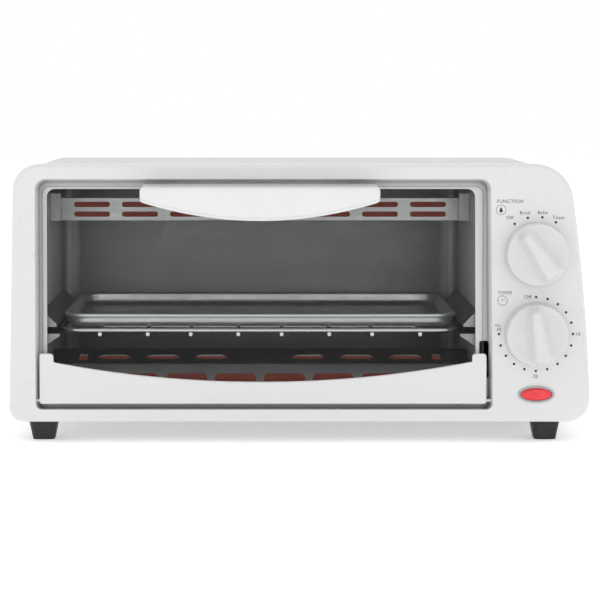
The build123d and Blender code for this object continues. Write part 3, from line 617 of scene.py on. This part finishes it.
# %% Dress every part
FINISHES = {
    "white_enamel": white_enamel,
    "galvanised": galvanised,
    "aluminised": aluminised,
    "tray_steel": tray_steel,
    "plated_steel": plated_steel,
    "plated_wire": plated_wire,
    "element": element,
    "ceramic": ceramic,
    "clear_glass": clear_glass,
    "white_plastic": white_plastic,
    "grey_plastic": grey_plastic,
    "black_plastic": black_plastic,
    "foot_rubber": foot_rubber,
    "fibre": fibre,
    "bell_brass": bell_brass,
    "red_lens": red_lens,
    "lamp_glass": lamp_glass,
}
OWN_FINISH = {
    "cabinet_wrap": cabinet_enamel_painted_shade,
    "cavity_liner": liner_steel,
    "left_rack_rail": hood_steel_painted_shade,
    "right_rack_rail": hood_steel_painted_shade,
    "upper_heater_guard": guard_steel,
    "lower_heater_guard": hood_steel_painted_shade,
}
slot_of = {part["node"]: part["material_slot"] for part in frame["record"]["subparts"]}
for name, part in nodes.items():
    for index in range(len(part.material_slots)):
        part.material_slots[index].material = OWN_FINISH.get(name, FINISHES[slot_of[name]])
print("dressed", len(nodes), "parts in", len(FINISHES), "finishes")

# %% [markdown]
# ## A helper for surfaces
# Every new piece below is a grid of points worked out by a formula. Rows and columns of that
# grid become four-sided faces; a direction that comes back to its start is closed.

# %% Surface helper


def grid_faces(rows, columns, close_rows=False, close_columns=False):
    """The four-sided faces of a rows by columns grid of points, joined up where it closes."""
    row = np.arange(rows if close_rows else rows - 1)
    column = np.arange(columns if close_columns else columns - 1)
    r, c = (part.ravel() for part in np.meshgrid(row, column, indexing="ij"))
    r2, c2 = (r + 1) % rows, (c + 1) % columns
    near, far = r * columns, r2 * columns
    return np.stack([near + c, near + c2, far + c2, far + c], axis=1)


def build(name, points, faces, finish, smooth=True, extra=()):
    """A mesh object from an array of points in metres and lists of faces, in one finish."""
    mesh = bpy.data.meshes.new(name)
    listed = [tuple(int(i) for i in face) for face in faces] + [tuple(face) for face in extra]
    mesh.from_pydata(np.asarray(points, float).reshape(-1, 3).tolist(), [], listed)
    mesh.validate()
    mesh.shade_smooth() if smooth else mesh.shade_flat()
    mesh.materials.append(finish)
    piece = bpy.data.objects.new(name, mesh)
    bpy.context.collection.objects.link(piece)
    return piece


def face_outwards(piece, sharp=40.0):
    """Turns every face of a closed piece to point outwards, and keeps its real edges crisp."""
    work = bmesh.new()
    work.from_mesh(piece.data)
    bmesh.ops.remove_doubles(work, verts=work.verts, dist=1e-6)
    bmesh.ops.recalc_face_normals(work, faces=work.faces)
    work.to_mesh(piece.data)
    work.free()
    piece.data.set_sharp_from_angle(angle=math.radians(sharp))


# %% [markdown]
# ## The door handle
# The handle is one moulded visor: a ledge that falls slightly from the glass, a front face
# whose lower edge bows down, and a lip set back under that edge. Cut across, it is a C. The C
# is carried along X with its foot following the bow. Near each end the C's inside slides down
# onto its open side, which fills the section and makes the end wall; the last two millimetres
# shrink in a quarter circle.

# %% Handle
low, high = (np.array(corner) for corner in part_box("door_handle"))
HANDLE_MID = (low[0] + high[0]) / 2
HANDLE_HALF = (high[0] - low[0]) / 2
HANDLE_BOW = 11.5 * MM  # how far the middle hangs below the ends
HANDLE_ROUND = 2.0 * MM
HANDLE_WALL = 2.4 * MM
HANDLE_FALL = 1.1 * MM  # how far the ledge drops on its way forwards
LIP_UP, LIP_BACK = 2.0 * MM, 1.3 * MM
LEDGE_SHARE = 0.9  # the share of the ledge's depth that is drawn before the front edge rounds
POST_R = 4.2 * MM  # the posts behind the visor that the screws run into
POST_GAP = 1.5 * MM  # from the visor's front face to the end of a post


def c_section(x, pull, filled):
    """The C at one X as (depth, height) points, outside first and then inside."""
    foot = low[2] + HANDLE_BOW * (x / HANDLE_HALF) ** 2 + pull * 0.5
    front, back = low[1] + pull, high[1]
    top = high[2] - HANDLE_FALL - pull
    outside = []
    for t in np.linspace(0, LEDGE_SHARE, 5):
        ledge = back + (front + HANDLE_ROUND - back) * t / LEDGE_SHARE
        outside.append((ledge, high[2] - pull - HANDLE_FALL * t / LEDGE_SHARE))
    for a in np.linspace(0, math.pi / 2, 7)[1:]:
        drop = HANDLE_ROUND * (1 - math.cos(a))
        outside.append((front + HANDLE_ROUND * (1 - math.sin(a)), top - drop))
    edge = foot + LIP_UP
    for t in (0.35, 0.7, 1.0):
        outside.append((front, top - HANDLE_ROUND + (edge + 0.5 * MM - top + HANDLE_ROUND) * t))
    outside.append((front + 0.15 * MM, edge + 0.15 * MM))
    outside.append((front + 0.5 * MM, edge))
    outside.append((front + LIP_BACK, edge - 0.1 * MM))
    outside.append((front + LIP_BACK, foot + 0.4 * MM))
    outside.append((front + LIP_BACK + 0.4 * MM, foot))
    inner, under = front + HANDLE_WALL, top - HANDLE_WALL
    share = np.linspace(0, 1, 6)
    if filled:
        inside = [(inner + (back - inner) * t, foot) for t in share]
        inside += [(back, foot + (under - foot) * t) for t in share]
    else:
        inside = [(inner, foot + (under - HANDLE_ROUND - foot) * t) for t in share]
        inside += [(inner + HANDLE_ROUND + (back - inner - HANDLE_ROUND) * t, under) for t in share]
    return outside + inside


def handle_surface(along=96, ends_steps=7):
    """The C at every X: rounded tip, end wall, hollow middle, end wall, rounded tip."""
    turn = np.linspace(0, math.pi / 2, ends_steps)
    inner_end = HANDLE_HALF - HANDLE_WALL
    stations = [
        (HANDLE_HALF - HANDLE_ROUND * (1 - math.sin(a)), HANDLE_ROUND * (1 - math.cos(a)), True)
        for a in turn[::-1]
    ]
    stations.append((inner_end, 0.0, True))
    half = stations + [(x, 0.0, False) for x in np.linspace(inner_end, 0, along // 2)]
    mirrored = [(-x, pull, filled) for x, pull, filled in half[:-1]]
    rows = []
    for x, pull, filled in half + mirrored[::-1]:
        rows.append([(HANDLE_MID + x, y, z) for y, z in c_section(x, pull, filled)])
    return np.array(rows)


handle_points = handle_surface()
handle_rows, around = handle_points.shape[:2]
last_row = (handle_rows - 1) * around
caps = [list(range(around)), list(range(last_row, handle_rows * around))[::-1]]
handle_faces = grid_faces(handle_rows, around, close_columns=True)
handle = build("handle_visor", handle_points, handle_faces, white_plastic, extra=caps)
face_outwards(handle)


def post(name, x, z, y0, y1, r, finish, around=40):
    """A plain round post along Y with softened ends: a profile turned about its own axis."""
    soft = 0.3 * MM
    profile = [(0, y0), (r - soft, y0), (r, y0 + soft), (r, y1 - soft), (r - soft, y1), (0, y1)]
    angle = np.linspace(0, 2 * math.pi, around, endpoint=False)
    rings = []
    for radius, y in profile:
        ring_x, ring_z = x + radius * np.cos(angle), z + radius * np.sin(angle)
        rings.append(np.stack([ring_x, np.full(around, y), ring_z], axis=1))
    faces = grid_faces(len(profile), around, close_columns=True)
    made = build(name, np.stack(rings), faces, finish)
    face_outwards(made)
    return made


screw_low, screw_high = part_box("handle_screws")
screw_z = (screw_low[2] + screw_high[2]) / 2
HEAD_R = 3.4 * MM
post_front, post_back = low[1] + POST_GAP, high[1]
for side, x in (("left", screw_low[0] + HEAD_R), ("right", screw_high[0] - HEAD_R)):
    name = f"handle_post_{side}"
    made = post(name, x, screw_z, post_front, post_back, POST_R, white_plastic)
    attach(made, "door")
    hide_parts("door_handle")
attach(handle, "door")
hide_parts("door_handle")
print("handle points:", handle_points.shape)

# %% [markdown]
# ## The knobs
# Each knob is one moulding: a low drum with a soft ridge across its face, narrow at the end
# that points and broad at the other. Seen from the front it is a height over a disc, so it is
# a polar grid whose height is a formula: a slight dome plus the ridge, which has a flat crest
# and smooth flanks and dies away at the rim. The drum's side hangs from the disc's edge.

# %% Knobs
KNOB_FACE = 10.6 * MM  # the disc's height over the panel
KNOB_CREST = 8.0 * MM  # the ridge's height over the disc
KNOB_EDGE = 1.3 * MM  # the rounding between disc and side
RIDGE_FLANK = 6.2 * MM
RIM_FADE = 5.0 * MM  # over this width the ridge dies away at the rim
DISH, DOME = 0.9 * MM, 0.8 * MM
KNOBS = (("function_knob", "function_control", -34.0), ("timer_knob", "timer_control", -9.0))


def smooth_step(x):
    """0 below 0, 1 above 1, and an S-curve between."""
    x = np.clip(x, 0, 1)
    return x * x * (3 - 2 * x)


def knob_surface(node, pointer, around=144, rings=44):
    """Height over a disc: dome + ridge(u across, v along the pointer), then the drum's side."""
    low, high = (np.array(corner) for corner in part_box(node))
    middle = (low + high) / 2
    radius = (high[0] - low[0]) / 2
    angle = np.linspace(0, 2 * math.pi, around, endpoint=False)
    flat = radius - 0.7 * MM
    r = flat * np.linspace(0, 1, rings)[:, None] ** 0.9
    x, z = r * np.sin(angle), r * np.cos(angle)
    lean = math.radians(pointer)
    u = x * math.cos(lean) - z * math.sin(lean)
    v = x * math.sin(lean) + z * math.cos(lean)
    flat_half = (2.1 - 1.5 * v / radius) * MM
    ridge = smooth_step(1 - (np.abs(u) - flat_half) / RIDGE_FLANK)
    fade = smooth_step((flat - r + 0.4 * MM) / RIM_FADE)
    dish = -DISH * smooth_step(1 - np.abs(r / flat - 0.62) / 0.38)
    dome = DOME * (1 - (r / flat) ** 2)
    height = KNOB_FACE + dome + dish * (1 - ridge) + KNOB_CREST * ridge * fade
    rows = [np.stack([x, height, z], axis=-1)]
    rim = []
    for a in np.linspace(0, math.pi / 2, 6)[1:]:
        out = flat + KNOB_EDGE * 0.5 * (math.sin(a) - 1) + (radius - flat) * 0.4 * math.sin(a)
        rim.append((out, KNOB_FACE - KNOB_EDGE * (1 - math.cos(a))))
    side = [(radius - 0.25 * MM, 5.0 * MM), (radius, 0.9 * MM), (radius - 0.3 * MM, 0.6 * MM)]
    for ring_r, ring_up in rim + side + [(0.1 * MM, 0.6 * MM)]:
        ring = [ring_r * np.sin(angle), np.full(around, ring_up), ring_r * np.cos(angle)]
        rows.append(np.stack(ring, axis=-1)[None])
    grid = np.concatenate(rows)
    grid[..., 1] = FRONT - grid[..., 1]
    grid[..., 0] += middle[0]
    grid[..., 2] += middle[2]
    return grid


for node, body, pointer in KNOBS:
    surface = knob_surface(node, pointer)
    rows, around = surface.shape[:2]
    faces = grid_faces(rows, around, close_columns=True)
    made = build(node + "_moulding", surface, faces, knob_plastic)
    face_outwards(made)
    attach(made, body)
    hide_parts(node)
print("knob grid:", surface.shape)

# %% [markdown]
# ## Printing on the panel
# The scales are printed: round dots at even angles about each knob, and short plain words.
# Here they are very thin solids on the panel, so they stay crisp in any light. The words are
# text curves made into meshes; dots and rings come from one function.

# %% Printing
INK_PROUD = 0.05 * MM
ink = moulded("ink", (0.02, 0.02, 0.02), 0.6, 0.000002, 3000.0)
function_low, function_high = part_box("function_knob")
timer_low, timer_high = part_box("timer_knob")
FUNCTION_AT = (np.array(function_low)[[0, 2]] + np.array(function_high)[[0, 2]]) / 2
TIMER_AT = (np.array(timer_low)[[0, 2]] + np.array(timer_high)[[0, 2]]) / 2
SCALE_R = 22.9 * MM
DOT_R = 0.8 * MM
FUNCTION_DOTS = -36.0 + 22.5 * np.arange(4)  # clockwise degrees from the top
TIMER_DOTS = 18.0 * np.arange(16)


def ring_print(x, z, outer, inner, around=32):
    """Points and faces of a flat ring (or a dot when inner is 0) with a little thickness."""
    angle = np.linspace(0, 2 * math.pi, around, endpoint=False)
    inner = max(inner, 1e-6)
    rings = []
    for r, height in ((outer, 0.0), (outer, INK_PROUD), (inner, INK_PROUD), (inner, 0.0)):
        level = np.full(around, FRONT - height)
        rings.append(np.stack([x + r * np.sin(angle), level, z + r * np.cos(angle)], axis=1))
    return np.concatenate(rings), grid_faces(4, around, close_rows=True, close_columns=True)


def text_print(words, x, z, size):
    """A word as a thin mesh, its left end and baseline at x, z. Returns points and faces."""
    curve = bpy.data.curves.new("word", "FONT")
    curve.body, curve.size, curve.extrude = words, size, INK_PROUD / 2
    curve.space_character = 1.12
    holder = bpy.data.objects.new("word", curve)
    bpy.context.collection.objects.link(holder)
    evaluated = holder.evaluated_get(bpy.context.evaluated_depsgraph_get())
    mesh = bpy.data.meshes.new_from_object(evaluated)
    points = np.empty(len(mesh.vertices) * 3)
    mesh.vertices.foreach_get("co", points)
    points = points.reshape(-1, 3)
    faces = [tuple(polygon.vertices) for polygon in mesh.polygons]
    bpy.data.objects.remove(holder)
    bpy.data.meshes.remove(mesh)
    depth = FRONT - INK_PROUD / 2 - points[:, 2]
    return np.stack([x + points[:, 0], depth, z + points[:, 1]], axis=1), faces


def around_knob(centre, degrees, radius=SCALE_R):
    """A place on a knob's scale, by its clockwise angle from the top."""
    angle = math.radians(degrees)
    return centre[0] + radius * math.sin(angle), centre[1] + radius * math.cos(angle)


prints = []
for centre, dots in ((FUNCTION_AT, FUNCTION_DOTS), (TIMER_AT, TIMER_DOTS)):
    for degrees in dots:
        prints.append(ring_print(*around_knob(centre, float(degrees)), DOT_R, 0))
WORD = 3.0 * MM
for words, centre, dx, dz, size in (
    ("FUNCTION", FUNCTION_AT, -24.6, 31.5, WORD),
    ("Off", FUNCTION_AT, -18.6, 21.4, WORD),
    ("Broil", FUNCTION_AT, -10.4, 24.4, WORD),
    ("Bake", FUNCTION_AT, 0.6, 24.6, WORD),
    ("Toast", FUNCTION_AT, 9.8, 21.5, WORD),
    ("TIMER", TIMER_AT, -23.8, 24.6, WORD),
    ("Off", TIMER_AT, -7.4, 22.0, WORD),
    ("10", TIMER_AT, 24.4, -1.0, WORD),
    ("20", TIMER_AT, -1.9, -27.2, WORD),
    ("Min", TIMER_AT, -25.2, 4.6, 2.2 * MM),
    ("30", TIMER_AT, -24.6, 1.9, WORD),
):
    prints.append(text_print(words, centre[0] + dx * MM, centre[1] + dz * MM, size))
DROP_AT = FUNCTION_AT + np.array([-21.9, 27.2]) * MM
CLOCK_AT = TIMER_AT + np.array([-20.8, 20.8]) * MM
for centre in (DROP_AT, CLOCK_AT):
    prints.append(ring_print(*centre, 3.1 * MM, 2.85 * MM, 64))


def flat_print(outline):
    """A closed flat outline of (x, z) points in metres, given a little thickness."""
    outline = np.asarray(outline)
    count = len(outline)
    back = np.stack([outline[:, 0], np.full(count, FRONT), outline[:, 1]], axis=1)
    front = back - np.array([0, INK_PROUD, 0])
    faces = [tuple(range(count)), tuple(range(2 * count - 1, count - 1, -1))]
    faces += [(i, i + count, (i + 1) % count + count, (i + 1) % count) for i in range(count)]
    return np.concatenate([back, front]), faces


def drop_outline(centre, size, count=32):
    """A drop: a circle whose radius narrows to a point at the top, x = sin(a) sin(a / 2)."""
    a = np.linspace(0, 2 * math.pi, count, endpoint=False)
    across = size * 0.75 * np.sin(a) * np.sin(a / 2)
    return np.stack([centre[0] - across, centre[1] + size * np.cos(a)], axis=1)


def hand_outline(centre, degrees, length, half=0.12 * MM):
    """A clock hand: a thin bar from the centre outwards."""
    way = np.array([math.sin(math.radians(degrees)), math.cos(math.radians(degrees))])
    side = np.array([way[1], -way[0]]) * half
    tip = centre + way * length
    return [centre - side, centre + side, tip + side, tip - side]


prints.append(flat_print(drop_outline(DROP_AT, 1.7 * MM)))
prints.append(flat_print(hand_outline(CLOCK_AT, 55.0, 1.9 * MM)))
prints.append(flat_print(hand_outline(CLOCK_AT, -50.0, 1.4 * MM)))
for hour in range(4):
    way = np.array([math.sin(hour * math.pi / 2), math.cos(hour * math.pi / 2)])
    prints.append(flat_print(hand_outline(CLOCK_AT + way * 2.3 * MM, hour * 90.0, 0.5 * MM)))
starts = np.cumsum([0] + [len(points) for points, _ in prints])
joined = np.concatenate([points for points, _ in prints])
all_faces = []
for (_, faces), start in zip(prints, starts):
    all_faces += [tuple(int(i) + int(start) for i in face) for face in faces]
printing = build("panel_printing", joined, [], ink, smooth=False, extra=all_faces)
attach(printing, "oven")
print("printed marks:", len(prints))

# %% [markdown]
# ## The pilot light's lens
# The lens is cut like a gem, so that a small lamp behind it sparkles. Rings of points, each
# turned half a step from the last, make triangles; left flat, each triangle is a facet.

# %% Lens
lens_low, lens_high = (np.array(corner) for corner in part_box("indicator_lens"))
lens_mid, lens_half = (lens_low + lens_high) / 2, (lens_high - lens_low) / 2


def lens_surface(sides=14):
    """Elliptical rings as (share of the half width, height in mm), turned in turn, and a skirt."""
    rings = [(0.18, 2.15), (0.44, 1.75), (0.70, 1.65), (0.88, 0.95), (1.0, 0.45), (1.0, -6.0)]
    points, faces = [[lens_mid[0], FRONT - 1.7 * MM, lens_mid[2]]], []
    for k, (share, height) in enumerate(rings):
        turn = (np.arange(sides) + 0.5 * (k % 2 if k < 4 else 0)) * 2 * math.pi / sides
        x = lens_mid[0] + lens_half[0] * share * np.cos(turn)
        z = lens_mid[2] + lens_half[2] * share * np.sin(turn)
        points += np.stack([x, np.full(sides, FRONT - height * MM), z], axis=1).tolist()
    for i in range(sides):
        faces.append((0, 1 + i, 1 + (i + 1) % sides))
    for k in range(len(rings) - 1):
        a, b = 1 + k * sides, 1 + (k + 1) * sides
        for i in range(sides):
            j = (i + 1) % sides
            if k < 3 and k % 2 == 0:
                faces += [(a + i, b + i, a + j), (a + j, b + i, b + j)]
            else:
                faces += [(a + i, b + i, b + j), (a + i, b + j, a + j)]
    faces.append(tuple(range(1 + (len(rings) - 1) * sides, 1 + len(rings) * sides)))
    return points, faces


lens_points, lens_faces = lens_surface()
lens = build("lens_cut", lens_points, [], red_lens, smooth=False, extra=lens_faces)
face_outwards(lens)
lens.data.shade_flat()
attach(lens, "oven")
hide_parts("indicator_lens")

# %% [markdown]
# ## The bake tray
# The tray is pressed from thin sheet: a flat floor, a bend, a wall that leans out and a rolled
# rim. One list of points says how far in from the outline, and how high, each of those is. The
# list is carried round a rounded rectangle, first up the inside and then down the outside.

# %% Bake tray


def rounded_ring(half, corner, steps=10):
    """Points round a rounded rectangle about the origin, from (half x, half y) and a radius."""
    angle = np.linspace(0, math.pi / 2, steps)
    points = []
    for turn, (sx, sy) in enumerate(((1, 1), (-1, 1), (-1, -1), (1, -1))):
        a = angle + turn * math.pi / 2
        x = sx * (half[0] - corner) + corner * np.cos(a)
        y = sy * (half[1] - corner) + corner * np.sin(a)
        points.append(np.stack([x, y], axis=1))
    return np.concatenate(points)


TRAY_CORNER, TRAY_LEAST_CORNER = 16.0, 2.0  # the outline's corner radius, and the least inside
BEND_IN = 6.7  # how far in from the outline the bend's centre stands
FLOOR_INSETS = (30.0, 14.0)


def tray_profile(height, sheet=0.8, bend=4.0, bead=1.3):
    """(inset, height) in mm: inner floor, bend, wall, rolled rim, outer wall, bend, under floor."""
    turn = np.linspace(0, math.pi / 2, 7)
    round_rim = np.linspace(0, 1.5 * math.pi, 14)

    def corner(r, angles):
        return [(BEND_IN - r * math.sin(a), bend + sheet - r * math.cos(a)) for a in angles]

    rim = [(bead + bead * math.cos(a), height - bead + bead * math.sin(a)) for a in round_rim]
    floor = [(inset, sheet) for inset in FLOOR_INSETS]
    under = [(inset, 0.0) for inset in FLOOR_INSETS[::-1]]
    return floor + corner(bend, turn) + rim + corner(bend + sheet, turn[::-1]) + under


tray_low, tray_high = (np.array(corner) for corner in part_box("bake_tray"))
tray_mid, tray_half = (tray_low + tray_high) / 2, (tray_high - tray_low) / 2
tray_rings = []
for inset, up in tray_profile((tray_high[2] - tray_low[2]) / MM):
    corner_r = max(TRAY_CORNER - inset, TRAY_LEAST_CORNER) * MM
    flat = rounded_ring(tray_half[:2] - inset * MM, corner_r)
    ring_up = np.full((len(flat), 1), tray_low[2] + up * MM)
    tray_rings.append(np.hstack([flat + tray_mid[:2], ring_up]))
ring_count, ring_size = len(tray_rings), len(tray_rings[0])
under_start = (ring_count - 1) * ring_size
floors = [list(range(ring_size)), list(range(under_start, ring_count * ring_size))[::-1]]
tray_faces = grid_faces(ring_count, ring_size, close_columns=True)
tray = build("bake_tray_pressing", np.stack(tray_rings), tray_faces, tray_steel, extra=floors)
face_outwards(tray)
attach(tray, "tray")
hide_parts("bake_tray")
print("tray rings:", ring_count, "by", ring_size)
